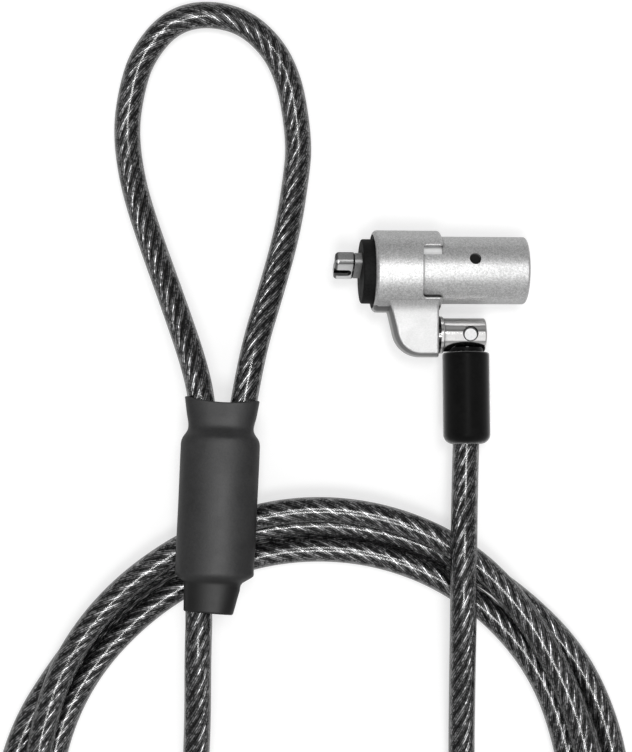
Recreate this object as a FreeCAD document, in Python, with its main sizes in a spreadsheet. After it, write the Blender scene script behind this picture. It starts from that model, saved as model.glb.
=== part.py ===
import FreeCAD, Part
import math
import os

# Laptop cable lock, lying flat: lock head with T-bar tip on a swivel stud, and a 5 mm coated
# steel cable in a three-turn coil that ends in a crimped eye. Millimetres, +Z up.

Vector = FreeCAD.Vector
Placement = FreeCAD.Placement
Rotation = FreeCAD.Rotation
alongX = Vector(1, 0, 0)
alongY = Vector(0, 1, 0)
alongZ = Vector(0, 0, 1)

size = {
    # where the head lies, measured to the collar's axis at the right face of the leg
    "headX": 1.55,
    "headY": 12.84,
    "headZ": 7.87,
    "headTilt": 4.9,
    "bootTilt": 4.0,
    # collar and leg
    "collarRadius": 7.9,
    "collarLength": 12.95,
    "mouthRadius": 7.1,
    "mouthDepth": 2.35,
    "coreBore": 5.52,
    "notchWidth": 3.9,
    "legHalf": 4.5,
    "legDraft": 8.0,
    "studDrop": 12.17,
    # barrel, core and plug; the core's axis stands a little above the collar's
    "coreRise": 0.28,
    "barrelRadius": 6.5,
    "barrelLength": 16.75,
    "barrelWall": 1.0,
    "barrelEnd": 1.3,
    "sideHoleRadius": 1.13,
    "sideTurn": 17.4,
    "tabLength": 3.75,
    "coreRadius": 5.48,
    "plugOffset": 0.82,
    "plugBore": 3.25,
    "plugRadius": 3.2,
    "plugFront": 2.8,
    "spindleRadius": 2.0,
    "chamberRadius": 0.85,
    "chamberStep": 2.2,
    "chamberCount": 5,
    "keywayWidth": 1.2,
    "keywayHeight": 4.0,
    # T-bar tip
    "teeLength": 6.6,
    "teeWidth": 2.8,
    "teeDepth": 3.7,
    "teeTurn": 28.0,
    "neckRadius": 0.95,
    "noseLength": 4.3,
    # swivel stud, boot and cable
    "studRadius": 3.27,
    "studLength": 8.95,
    "shankRadius": 2.0,
    "bootRadius": 4.54,
    "bootLength": 17.6,
    "bootShift": 5.25,
    "crossShift": 5.7,
    "crossRadius": 1.35,
    "cableRadius": 2.5,
    # crimp and coil
    "ferruleWidth": 13.4,
    "ferruleHeight": 7.9,
    "ferruleLength": 25.5,
    "cableApart": 3.2,
    "coilX": -22.75,
    "coilY": -92.12,
}

doc = FreeCAD.newDocument("LaptopCableLock")
sheet = doc.addObject("Spreadsheet::Sheet", "Sizes")
for row, name in enumerate(size, 1):
    sheet.set("A%d" % row, name)
    sheet.set("B%d" % row, str(size[name]))
    sheet.setAlias("B%d" % row, name)
doc.recompute()

nodes = []


def shifted(x, y, z):
    return Placement(Vector(x, y, z), Rotation())


headPlace = Placement(Vector(size["headX"], size["headY"], size["headZ"]),
                      Rotation(alongY, size["headTilt"]))
corePlace = headPlace * shifted(0, size["coreRise"], 0)
plugPlace = corePlace * shifted(0, size["plugOffset"], 0)
legPlace = headPlace * shifted(0, -size["studDrop"], 0)
studPlace = legPlace * Placement(Vector(0, 0, 0), Rotation(alongX, -size["bootTilt"]))
bootPlace = studPlace * shifted(size["bootShift"], 0, 0)
sleevePlace = (shifted(-40.86, -32.32, 13.7) * Placement(Vector(0, 0, 0), Rotation(alongZ, -2.25))
               * Placement(Vector(0, 0, 0), Rotation(alongX, -6.0)))


# Closed outline of straight sides in a sketch; a third number in a point rounds that corner.
def outline(points):
    corners = []
    for i, point in enumerate(points):
        here = Vector(point[0], point[1], 0)
        if len(point) < 3:
            corners.append((here, None, here))
            continue
        before = points[i - 1]
        after = points[(i + 1) % len(points)]
        back = (Vector(before[0], before[1], 0) - here).normalize()
        ahead = (Vector(after[0], after[1], 0) - here).normalize()
        half = back.getAngle(ahead) / 2
        reach = point[2] / math.tan(half)
        middle = here + (back + ahead).normalize() * (point[2] / math.sin(half) - point[2])
        corners.append((here + back * reach, middle, here + ahead * reach))
    shapes = []
    for i, corner in enumerate(corners):
        first, middle, last = corner
        if middle is not None:
            shapes.append(Part.Arc(first, middle, last))
        stop = corners[(i + 1) % len(corners)][0]
        if (stop - last).Length > 1e-5:
            shapes.append(Part.LineSegment(last, stop))
    return shapes


def circle(x, y, radius):
    return [Part.Circle(Vector(x, y, 0), alongZ, radius)]


# Rounded bar in (v, w), its long side turned from +w toward +v.
def bar(v, w, long, wide, corner, turn):
    lean = math.radians(turn)
    points = []
    for a, b in ((1, 1), (1, -1), (-1, -1), (-1, 1)):
        along = a * long / 2
        across = b * wide / 2
        points.append((v + along * math.sin(lean) + across * math.cos(lean),
                       w + along * math.cos(lean) - across * math.sin(lean), corner))
    return outline(points)


def box(x0, y0, x1, y1):
    return outline([(x0, y0), (x1, y0), (x1, y1), (x0, y1)])


def newBody(name, place):
    body = doc.addObject("PartDesign::Body", name)
    body.Label = name
    body.Placement = place
    nodes.append(body)
    return body


def originItem(body, role):
    for item in body.Origin.OriginFeatures:
        if item.Role == role:
            return item
    return None


def newSketch(body, name, role, shapes, shift=0.0, turn=0.0):
    sketch = body.newObject("Sketcher::SketchObject", name)
    sketch.AttachmentSupport = [(originItem(body, role), "")]
    sketch.MapMode = "FlatFace"
    sketch.AttachmentOffset = Placement(Vector(0, 0, 0), Rotation(alongX, turn)) * shifted(0, 0, shift)
    sketch.addGeometry(shapes, False)
    return sketch


def turned(body, name, points, role="X_Axis", kind="PartDesign::Revolution", plane="XY_Plane"):
    sketch = newSketch(body, name + "Profile", plane, outline(points))
    feature = body.newObject(kind, name)
    feature.Profile = sketch
    feature.ReferenceAxis = (originItem(body, role), [""])
    feature.Angle = 360
    doc.recompute()
    return feature


# Pad or pocket; length is a number or the name of a sheet value.
def pushed(body, name, kind, plane, shapes, length, shift=0.0, turn=0.0, back=False, both=False):
    sketch = newSketch(body, name + "Sketch", plane, shapes, shift, turn)
    feature = body.newObject("PartDesign::" + kind, name)
    feature.Profile = sketch
    if isinstance(length, str):
        feature.setExpression("Length", "Sizes." + length)
    else:
        feature.Length = length
    feature.Reversed = back
    if both:
        feature.SideType = "Symmetric"
    doc.recompute()
    return feature


def pad(body, name, plane, shapes, length, **more):
    return pushed(body, name, "Pad", plane, shapes, length, **more)


def pocket(body, name, plane, shapes, length, **more):
    return pushed(body, name, "Pocket", plane, shapes, length, **more)


def rowOf(body, name, feature):
    pattern = body.newObject("PartDesign::LinearPattern", name)
    pattern.Originals = [feature]
    pattern.Direction = (originItem(body, "X_Axis"), [""])
    pattern.Mode = "Spacing"
    pattern.setExpression("Offset", "Sizes.chamberStep")
    pattern.setExpression("Occurrences", "Sizes.chamberCount")
    body.Tip = pattern
    doc.recompute()
    return pattern


def rounded(body, name, radius, chosen):
    base = body.Tip
    names = ["Edge%d" % (i + 1) for i, edge in enumerate(base.Shape.Edges) if chosen(edge)]
    feature = body.newObject("PartDesign::Fillet", name)
    feature.Base = (base, names)
    feature.Radius = radius
    doc.recompute()
    return feature


def cylinder(name, place, radius, length):
    solid = doc.addObject("Part::Cylinder", name)
    solid.Label = name
    solid.Radius = radius
    solid.Height = length
    solid.Placement = place
    return solid


# Lock body: collar with the curved leg. u runs along the barrel, v up the leg, w to the front.
lockBody = newBody("lock_body", headPlace)
legPoints = [(0, -4.9), (-11.6, -4.9), (-10.1, -8.0, 5.0), (-8.12, -16.5, 5.4), (0, -16.5, 0.4)]
leg = pad(lockBody, "Leg", "XY_Plane", outline(legPoints), 6.2)
leg.SideType = "Two sides"
leg.Length2 = 6.2
leg.TaperAngle = -size["legDraft"]
leg.TaperAngle2 = -size["legDraft"]
doc.recompute()
blendLine = [(-4.0, 7.077), (-6.752, size["legHalf"], 4.69), (-19, size["legHalf"]), (-19, 9), (-4.0, 9)]
pocket(lockBody, "LegFront", "YZ_Plane", outline(blendLine), 60, both=True)
pocket(lockBody, "LegBack", "YZ_Plane", outline([(p[0], -p[1]) + p[2:] for p in blendLine]), 60, both=True)


def onLegFace(edge):
    bounds = edge.BoundBox
    flat = abs(abs(bounds.ZMin) - size["legHalf"]) < 1e-3 and bounds.ZLength < 1e-3
    return flat and bounds.YMax < -8.7 and bounds.XMin < -0.1


rounded(lockBody, "LegEdges", 0.4, onLegFace)
turned(lockBody, "Collar", [(-size["collarLength"], 0), (-size["collarLength"], size["collarRadius"], 0.8),
                            (0, size["collarRadius"], 0.7), (0, 0)])
mouthEnd = -size["collarLength"] + size["mouthDepth"]
turned(lockBody, "Mouth", [(-14, 0), (-14, size["mouthRadius"]), (mouthEnd, size["mouthRadius"]), (mouthEnd, 0)],
       kind="PartDesign::Groove")
pocket(lockBody, "CoreBore", "YZ_Plane", circle(size["coreRise"], 0, size["coreBore"]), 15, shift=1)
pocket(lockBody, "Notch", "XY_Plane",
       outline([(-size["notchWidth"], -5.1, 0.7), (1, -5.1), (1, 4.6), (-size["notchWidth"], 4.6, 0.7)]),
       9, back=True)


def onNotchRim(edge):
    middle = edge.CenterOfMass
    spread = edge.BoundBox
    away = math.hypot(middle.y, middle.z)
    return middle.z > 0 and -4.0 < middle.x < -0.2 and -5.2 < middle.y < 4.7 and away > 7.6 and spread.XLength < 4


rounded(lockBody, "NotchEdges", 0.25, onNotchRim)
pocket(lockBody, "ShankBore", "YZ_Plane", circle(-size["studDrop"], 0, size["shankRadius"] + 0.05), 5.8)
pocket(lockBody, "ClipSpace", "YZ_Plane", circle(-size["studDrop"], 0, 2.7), 0.7, shift=-4.0)
pocket(lockBody, "BodyPinHole", "XY_Plane", circle(-6, 0, 1.02), 9)

# Outer barrel with its locating tab in the notch.
barrel = newBody("lock_barrel", corePlace)
wallInner = size["barrelRadius"] - size["barrelWall"]
endInner = size["barrelLength"] - size["barrelEnd"]
turned(barrel, "Barrel", [(0, wallInner), (0, size["barrelRadius"]),
                          (size["barrelLength"], size["barrelRadius"], 0.5), (size["barrelLength"], 0),
                          (endInner, 0), (endInner, wallInner)])


def onCircle(radius, v):
    return Vector(v, math.sqrt(radius * radius - v * v), 0)


tabLow = -5.28
tabHigh = 2.68
tabMiddle = -1.3
pad(barrel, "Tab", "YZ_Plane",
    [Part.Arc(onCircle(wallInner, tabLow), onCircle(wallInner, tabMiddle), onCircle(wallInner, tabHigh)),
     Part.LineSegment(onCircle(wallInner, tabHigh), onCircle(size["barrelRadius"], tabHigh)),
     Part.Arc(onCircle(size["barrelRadius"], tabHigh), onCircle(size["barrelRadius"], tabMiddle),
              onCircle(size["barrelRadius"], tabLow)),
     Part.LineSegment(onCircle(size["barrelRadius"], tabLow), onCircle(wallInner, tabLow))],
    "tabLength", back=True)
pocket(barrel, "KeyOpening", "YZ_Plane", circle(size["plugOffset"], 0, size["plugFront"] + 0.05), 4, shift=18)
pocket(barrel, "SideHole", "XY_Plane", circle(6.1, 0, size["sideHoleRadius"]), 8, turn=-size["sideTurn"], back=True)

# Core housing: eccentric plug bore, spindle bore and the five pin chambers.
core = newBody("core_housing", corePlace)
turned(core, "Core", [(-10.5, 0), (-10.5, size["coreRadius"]), (15.35, size["coreRadius"]), (15.35, 0)])
pocket(core, "PlugBore", "YZ_Plane", circle(size["plugOffset"], 0, size["plugBore"]), 13.9, shift=16)
pocket(core, "SpindleBore", "YZ_Plane", circle(size["plugOffset"], 0, size["spindleRadius"] + 0.05), 14, shift=3)
chamber = pocket(core, "Chamber", "XZ_Plane", circle(4.6, 0, size["chamberRadius"]), 8, back=True)
rowOf(core, "Chambers", chamber)
pocket(core, "BarrelPinHole", "XY_Plane", circle(6.1, 0, 1.12), 4, shift=4.2, turn=-size["sideTurn"], back=True)
pocket(core, "CorePinHole", "XY_Plane", circle(-6, -size["coreRise"], 1.02), 4, shift=-2.9)

sidePlace = corePlace * Placement(Vector(6.1, 0, 0), Rotation(alongX, -size["sideTurn"]))
nodes.append(cylinder("barrel_pin", sidePlace * shifted(0, 0, 4.2), 1.1, 1.4))
nodes.append(cylinder("body_pin", headPlace * shifted(-6, 0, -7.8), 1.0, 4.85))

# Nose plate with the fixed oblong nose, and the rubber washer round it.
plugRise = size["coreRise"] + size["plugOffset"]
nose = newBody("nose_plate", headPlace)
turned(nose, "Plate", [(-12.2, 0), (-12.2, 7.0), (-10.6, 7.0), (-10.6, 0)])
pad(nose, "Nose", "YZ_Plane", bar(plugRise, 0, 6.4, 2.6, 0.9, size["teeTurn"]), "noseLength",
    shift=-12.2, back=True)
pocket(nose, "NeckBore", "YZ_Plane", circle(plugRise, 0, size["neckRadius"] + 0.05), 8, shift=-10)

washer = newBody("rubber_washer", headPlace)
turned(washer, "Rubber", [(-15.15, 0), (-15.15, 6.2, 0.35), (-12.8, 6.2), (-12.8, 7.0), (-12.2, 7.0), (-12.2, 0)])
pocket(washer, "NoseOpening", "YZ_Plane", bar(plugRise, 0, 6.46, 2.66, 0.93, size["teeTurn"]), 4, shift=-12)

# Pin stacks in the core housing.
driverPins = []
springs = []
for i in range(int(size["chamberCount"])):
    atPin = corePlace * Placement(Vector(4.6 + i * size["chamberStep"], 0, 0), Rotation(alongX, 90))
    driverPins.append(cylinder("DriverPin%d" % i, atPin * shifted(0, 0, 2.46), 0.8, 1.2))
    wire = cylinder("SpringOuter%d" % i, atPin * shifted(0, 0, 3.69), 0.74, 1.74)
    hollow = cylinder("SpringInner%d" % i, atPin * shifted(0, 0, 3.6), 0.5, 2.0)
    spring = doc.addObject("Part::Cut", "Spring%d" % i)
    spring.Base = wire
    spring.Tool = hollow
    springs.append(spring)


def group(name, members):
    joined = doc.addObject("Part::Compound", name)
    joined.Label = name
    joined.Links = members
    nodes.append(joined)
    return joined


group("driver_pins", driverPins)
group("pin_springs", springs)

# Key plug, its pins and the T-bar tip, all on the plug axis.
plug = newBody("key_plug", plugPlace)
turned(plug, "Plug", [(-9.9, 0), (-9.9, size["spindleRadius"]), (2.2, size["spindleRadius"]),
                      (2.2, size["plugRadius"]), (15.3, size["plugRadius"]), (15.3, size["plugFront"]),
                      (16.4, size["plugFront"], 0.2), (16.4, 0)])
pocket(plug, "Socket", "YZ_Plane", circle(0, 0, size["neckRadius"] + 0.02), 7, shift=-4.0)
halfKey = size["keywayWidth"] / 2
pocket(plug, "Keyway", "YZ_Plane", box(-1.5, -halfKey, size["keywayHeight"] - 1.5, halfKey), 13.6, shift=17)
pinHole = pocket(plug, "PinHole", "XZ_Plane", circle(4.6, 0, size["chamberRadius"]), 5, back=True)
rowOf(plug, "PinHoles", pinHole)
pocket(plug, "DriveHole", "XY_Plane", circle(-7, 0, 0.42), 12, both=True)

keyPins = []
for i in range(int(size["chamberCount"])):
    atPin = plugPlace * Placement(Vector(4.6 + i * size["chamberStep"], 0, 0), Rotation(alongX, 90))
    shaft = cylinder("KeyPinShaft%d" % i, atPin * shifted(0, 0, 1.5), 0.8, 1.56)
    point = doc.addObject("Part::Cone", "KeyPinPoint%d" % i)
    point.Radius1 = 0.25
    point.Radius2 = 0.8
    point.Height = 0.5
    point.Placement = atPin * shifted(0, 0, 1.0)
    keyPin = doc.addObject("Part::Fuse", "KeyPin%d" % i)
    keyPin.Base = shaft
    keyPin.Tool = point
    keyPins.append(keyPin)
group("key_pins", keyPins)

tee = newBody("tee_bar", plugPlace)
pad(tee, "Tee", "YZ_Plane", bar(0, 0, size["teeLength"], size["teeWidth"], 0.9, size["teeTurn"]), "teeDepth",
    shift=-16.6, back=True)
rounded(tee, "TeeFront", 0.8, lambda edge: edge.BoundBox.XMax < -20.2)
rounded(tee, "TeeBack", 0.35, lambda edge: edge.BoundBox.XMin > -16.65)
flank = size["teeWidth"] / 2
turned(tee, "Neck", [(-16.7, 0), (-16.7, size["neckRadius"]), (-4.0, size["neckRadius"]), (-4.0, 0)])
slot = [(-22, -0.6), (-16.95, -0.6, 0.95), (-16.95, 1.5, 0.95), (-22, 1.5)]
slotFloor = flank - 1.0
pocket(tee, "LowerSlot", "XY_Plane", outline(slot), 3, shift=-slotFloor, turn=-90 - size["teeTurn"])
pocket(tee, "UpperSlot", "XY_Plane", outline(slot), 3, shift=-slotFloor, turn=90 - size["teeTurn"])
pocket(tee, "TeeDriveHole", "XY_Plane", circle(-7, 0, 0.42), 12, both=True)

nodes.append(cylinder("drive_pin", plugPlace * shifted(-7, 0, -1.9), 0.4, 3.8))
thrust = newBody("thrust_washer", plugPlace)
turned(thrust, "Thrust", [(-10.4, 1.0), (-10.4, 1.9), (-10.0, 1.9), (-10.0, 1.0)])

# Swivel stud on the cable side, its clip in the leg, and the thin washer between.
clip = newBody("stud_clip", legPlace)
turned(clip, "Ring", [(-4.65, 1.75), (-4.65, 2.65), (-4.05, 2.65), (-4.05, 1.75)])
pocket(clip, "RingGap", "YZ_Plane", box(-3, -0.8, 0, 0.8), 2, shift=-4.0)

stud = newBody("swivel_stud", studPlace)
turned(stud, "Stud", [(-5.5, 0), (-5.5, size["shankRadius"], 0.25), (-4.7, size["shankRadius"]), (-4.7, 1.7),
                      (-4.0, 1.7), (-4.0, size["shankRadius"]), (0.75, size["shankRadius"]),
                      (0.75, size["studRadius"]), (size["studLength"], size["studRadius"], 0.4),
                      (size["studLength"], 0)])
pocket(stud, "NeckRecess", "XZ_Plane", circle(size["bootShift"], 0, 3.4), 5, shift=2.5, back=True)
pocket(stud, "TerminalBore", "XZ_Plane", circle(size["bootShift"], 0, 2.2), 6, shift=-1.6, back=True)
pocket(stud, "CrossHole", "XY_Plane", circle(size["crossShift"], 0, size["crossRadius"] + 0.15), 12, both=True)

studWasher = newBody("stud_washer", studPlace)
turned(studWasher, "StudWasher", [(0.05, 2.05), (0.05, 3.6), (0.7, 3.6, 0.2), (0.7, 2.05)])

crossPin = newBody("cross_pin", studPlace * shifted(size["crossShift"], 0, 0))
turned(crossPin, "CrossPin", [(0, -3.2), (size["crossRadius"], -3.2, 0.15), (size["crossRadius"], 3.2, 0.15), (0, 3.2)],
       role="Z_Axis", plane="XZ_Plane")

# Terminal swaged on the rope, and the boot over it.
terminal = newBody("cable_terminal", bootPlace)
turned(terminal, "Terminal", [(0, 1.5), (2.15, 1.5, 0.3), (2.15, -4.3), (3.4, -4.3), (3.4, -17), (2.1, -17),
                              (2.1, -7), (0, -7)], role="Y_Axis")
pocket(terminal, "TerminalHole", "XY_Plane",
       circle(size["crossShift"] - size["bootShift"], 0, size["crossRadius"] + 0.03), 12, both=True)
boot = newBody("terminal_boot", bootPlace)
bootTop = -3.45
bootEnd = bootTop - size["bootLength"]
turned(boot, "Boot", [(2.2, -2.55), (3.3, -2.55), (3.3, bootTop), (size["bootRadius"], bootTop, 0.5),
                      (size["bootRadius"], bootEnd, 1.9), (2.53, bootEnd), (2.53, -17),
                      (3.4, -17), (3.4, -4.25), (2.2, -4.25)], role="Y_Axis")
ropePlace = bootPlace * Placement(Vector(0, 0, 0), Rotation(alongX, 90))
nodes.append(cylinder("cable_rope_end", ropePlace * shifted(0, 0, 7.2), 2.05, 9.8))

# Crimp ferrule on both cable parts, and the shrink sleeve over it.
ferrule = newBody("crimp_ferrule", sleevePlace)
halfWide = size["ferruleWidth"] / 2
halfHigh = size["ferruleHeight"] / 2


def oval(left, right, high, corner):
    return outline([(left, -high / 2, corner), (right, -high / 2, corner),
                    (right, high / 2, corner), (left, high / 2, corner)])


pad(ferrule, "Ferrule", "XZ_Plane", oval(-halfWide, halfWide, 2 * halfHigh, halfHigh - 0.05), "ferruleLength", both=True)
for side in (-1, 1):
    pocket(ferrule, "CableBoreLeft" if side < 0 else "CableBoreRight", "XZ_Plane",
           circle(side * size["cableApart"], 0, size["cableRadius"]), 60, both=True)

sleeve = newBody("crimp_sleeve", sleevePlace)
# station along the sleeve, left edge, right edge, thickness
stations = [(-19.4, -5.4, 3.9, 6.4), (-13.9, -5.9, 5.2, 7.0), (-13.3, -7.0, 6.9, 8.6), (-12.4, -7.4, 7.4, 9.4),
            (12.6, -7.5, 7.5, 9.6), (13.6, -7.0, 7.0, 8.6), (15.0, -6.25, 6.25, 6.9), (20.7, -7.15, 7.15, 6.8)]
sections = []
for i, station in enumerate(stations):
    along, left, right, high = station
    sections.append(newSketch(sleeve, "Section%d" % i, "XZ_Plane", oval(left, right, high, high / 2 - 0.15), -along))
skin = sleeve.newObject("PartDesign::AdditiveLoft", "Skin")
skin.Profile = sections[0]
skin.Sections = sections[1:]
skin.Ruled = True
doc.recompute()
pocket(sleeve, "FerruleSpace", "XZ_Plane", oval(-halfWide - 0.05, halfWide + 0.05, 2 * halfHigh + 0.1, halfHigh - 0.02),
       25.6, both=True)
throats = (("TopThroat", ((12.7, -5.8, 5.8, 5.1), (20.8, -6.8, 6.7, 5.3))),
           ("LowThroat", ((-12.7, -5.78, -0.6, 5.12), (-19.5, -5.1, 0.06, 5.12))))
for name, ends in throats:
    cuts = []
    for j, station in enumerate(ends):
        along, left, right, high = station
        cuts.append(newSketch(sleeve, "%s%d" % (name, j), "XZ_Plane", oval(left, right, high, 2.5), -along))
    throat = sleeve.newObject("PartDesign::SubtractiveLoft", name)
    throat.Profile = cuts[0]
    throat.Sections = cuts[1:]
    throat.Ruled = True
    doc.recompute()

# Coil of three turns as one closed solid of its outer shape.
coil = newBody("cable_coil", shifted(size["coilX"], size["coilY"], 0))
turned(coil, "Turns", [(48.8, 0), (61.6, 0, 0.5), (62.7, 1.5, 1.0), (62.7, 3.8, 1.5), (61.5, 6.5, 1.5),
                       (57.2, 9.4, 2.5), (51.2, 9.4, 2.0), (48.6, 7.0, 1.5), (48.2, 1.2, 0.5)],
       role="Z_Axis", plane="XZ_Plane")


# Cable along straight runs joined by tangent arcs.
def cable(name, points, radius):
    pieces = []
    radii = []
    start = points[0]
    for i in range(1, len(points) - 1):
        back = points[i - 1] - points[i]
        ahead = points[i + 1] - points[i]
        reach = 0.45 * min(back.Length, ahead.Length)
        back.normalize()
        ahead.normalize()
        half = back.getAngle(ahead) / 2
        bend = reach * math.tan(half)
        first = points[i] + back * reach
        last = points[i] + ahead * reach
        middle = points[i] + (back + ahead).normalize() * (bend / math.sin(half) - bend)
        pieces.append(Part.LineSegment(start, first).toShape())
        pieces.append(Part.Arc(first, middle, last).toShape())
        radii.append(round(bend, 1))
        start = last
    pieces.append(Part.LineSegment(start, points[-1]).toShape())
    route = Part.Wire(pieces)
    ring = Part.Wire([Part.Circle(points[0], points[1] - points[0], radius).toShape()])
    solid = route.makePipeShell([ring], True, False)
    feature = doc.addObject("Part::Feature", name)
    feature.Label = name
    feature.Shape = solid
    nodes.append(feature)
    ideal = route.Length * math.pi * radius * radius
    print("%s: length %.1f mm, volume %.4f of section x length, radii %s"
          % (name, route.Length, solid.Volume / ideal, radii))
    return route.Length


def at(place, x, y, z=0.0):
    return place.multVec(Vector(x, y, z))


apart = size["cableApart"]
leadPoints = [at(bootPlace, 0, -17), Vector(7.1, -27.9, 9.6), Vector(6.4, -40.4, 16.6), Vector(6.1, -53.4, 17.0),
              Vector(6.3, -67.9, 10.5), Vector(6.7, -83.9, 4.6), Vector(7.4, -98.9, 2.6), Vector(8.2, -112.9, 2.8),
              Vector(5.4, -126.4, 2.6), Vector(-0.8, -136.9, 2.7), Vector(-9.2, -142.3, 2.6)]
tailPoints = [Vector(-22.7, -143.9, 6.6), Vector(-33.0, -141.4, 6.2), Vector(-42.8, -133.4, 3.6), Vector(-48.0, -119.1, 2.7),
              Vector(-47.4, -100.9, 3.3), Vector(-45.8, -85.9, 7.6), Vector(-44.9, -72.9, 13.4), Vector(-44.3, -60.9, 16.4),
              at(sleevePlace, -2.5, -19.4), at(sleevePlace, -apart, -12.6), at(sleevePlace, -apart, 12.75)]
eyePoints = [at(sleevePlace, -apart, 12.75), at(sleevePlace, -4.1, 20.7), Vector(-47.5, 1.6, 8.8),
             Vector(-54.8, 22.1, 4.6), Vector(-59.1, 38.1, 2.7), Vector(-58.0, 51.1, 2.6), Vector(-52.4, 60.8, 2.6),
             Vector(-43.4, 64.4, 2.6), Vector(-34.1, 61.4, 2.6), Vector(-27.7, 53.3, 2.6), Vector(-25.3, 39.6, 2.7),
             Vector(-27.4, 21.6, 5.0), Vector(-32.6, 3.1, 8.8), at(sleevePlace, 3.9, 20.7),
             at(sleevePlace, apart, 12.6), at(sleevePlace, apart, -12.0)]
total = cable("cable_lead", leadPoints, size["cableRadius"])
total += cable("cable_tail", tailPoints, size["cableRadius"])
total += cable("cable_eye", eyePoints, size["cableRadius"])
turnLength = 2 * math.pi * (51.6 + 57.7 + 55.6)
print("cable length with three turns: %.0f mm" % (total + turnLength + 13))

doc.recompute()
for item in doc.Objects:
    bad = [state for state in item.State if state in ("Invalid", "Error")]
    if bad:
        raise RuntimeError("%s is %s" % (item.Name, bad))
for node in nodes:
    if node.Shape.isNull() or not node.Shape.isValid():
        raise RuntimeError("%s has no valid shape" % node.Label)

onCord = ("cable_lead", "cable_coil", "cable_tail", "cable_eye", "crimp_ferrule", "crimp_sleeve")
bounds = FreeCAD.BoundBox()
whole = FreeCAD.BoundBox()
for node in nodes:
    limits = node.Shape.optimalBoundingBox(False, False)
    whole.add(limits)
    if node.Label not in onCord:
        bounds.add(limits)
    print("%-15s solids %d volume %.2f" % (node.Label, len(node.Shape.Solids), node.Shape.Volume))
print("lock without cable: X %.2f..%.2f Y %.2f..%.2f Z %.3f..%.2f"
      % (bounds.XMin, bounds.XMax, bounds.YMin, bounds.YMax, bounds.ZMin, bounds.ZMax))
print("whole: X %.2f..%.2f Y %.2f..%.2f Z %.3f..%.2f"
      % (whole.XMin, whole.XMax, whole.YMin, whole.YMax, whole.ZMin, whole.ZMax))

os.makedirs("parts", exist_ok=True)
for node in nodes:
    node.Shape.exportStep("parts/%s.step" % node.Label)
print("nodes: %d" % len(nodes))
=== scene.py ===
import math

import bpy
from mathutils import Matrix, Vector, noise


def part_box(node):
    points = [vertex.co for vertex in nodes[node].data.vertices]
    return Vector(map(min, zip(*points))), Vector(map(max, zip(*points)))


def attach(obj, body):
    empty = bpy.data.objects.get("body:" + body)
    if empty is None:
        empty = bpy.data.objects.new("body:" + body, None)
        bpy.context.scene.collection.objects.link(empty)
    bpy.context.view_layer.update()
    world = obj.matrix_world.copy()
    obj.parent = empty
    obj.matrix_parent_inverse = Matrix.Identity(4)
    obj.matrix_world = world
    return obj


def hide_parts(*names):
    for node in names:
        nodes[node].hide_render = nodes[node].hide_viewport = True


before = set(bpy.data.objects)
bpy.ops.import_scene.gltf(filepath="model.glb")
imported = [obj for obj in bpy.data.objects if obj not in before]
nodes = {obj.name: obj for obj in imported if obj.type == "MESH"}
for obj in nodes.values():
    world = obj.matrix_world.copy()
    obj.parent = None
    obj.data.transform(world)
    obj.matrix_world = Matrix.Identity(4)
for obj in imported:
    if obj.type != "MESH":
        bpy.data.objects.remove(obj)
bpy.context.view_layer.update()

mm = 0.001

# camera: straight above the middle of the picture
camera = {
    "centre": (-22.12, -7.26),
    "height": 350.0,
    "frameHeight": 148.44,   # what the picture's long side covers on the table
    "sensor": 36.0,
}

camData = bpy.data.cameras.new("pictureCamera")
camData.sensor_width = camera["sensor"]
camData.lens = camera["sensor"] / 2 / (camera["frameHeight"] / 2 / camera["height"])
camData.clip_start = 0.01
camData.clip_end = 20.0
camObject = bpy.data.objects.new("pictureCamera", camData)
camObject.location = (camera["centre"][0] * mm, camera["centre"][1] * mm, camera["height"] * mm)
bpy.context.scene.collection.objects.link(camObject)
bpy.context.scene.camera = camObject
bpy.context.scene.view_settings.view_transform = "Standard"

# cord: the route of the coated cable, in millimetres, by listed points
cable = {
    "jacketRadius": 2.55,
    "coilCentre": (-22.75, -92.12),
    "coilStart": -75.0,
    "stepsPerTurn": 24,
    "splineSteps": 20,
    "roundSteps": 9,
}
leadRoute = [
    (6.88, -16.17, 8.61), (6.45, -27.9, 9.4), (6.0, -40.4, 12.9), (5.9, -53.4, 12.9), (6.0, -67.9, 8.6),
    (6.2, -83.9, 4.2), (7.0, -98.9, 2.6), (8.2, -112.9, 2.6), (5.4, -126.4, 2.6), (-0.8, -136.9, 2.6),
]
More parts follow.
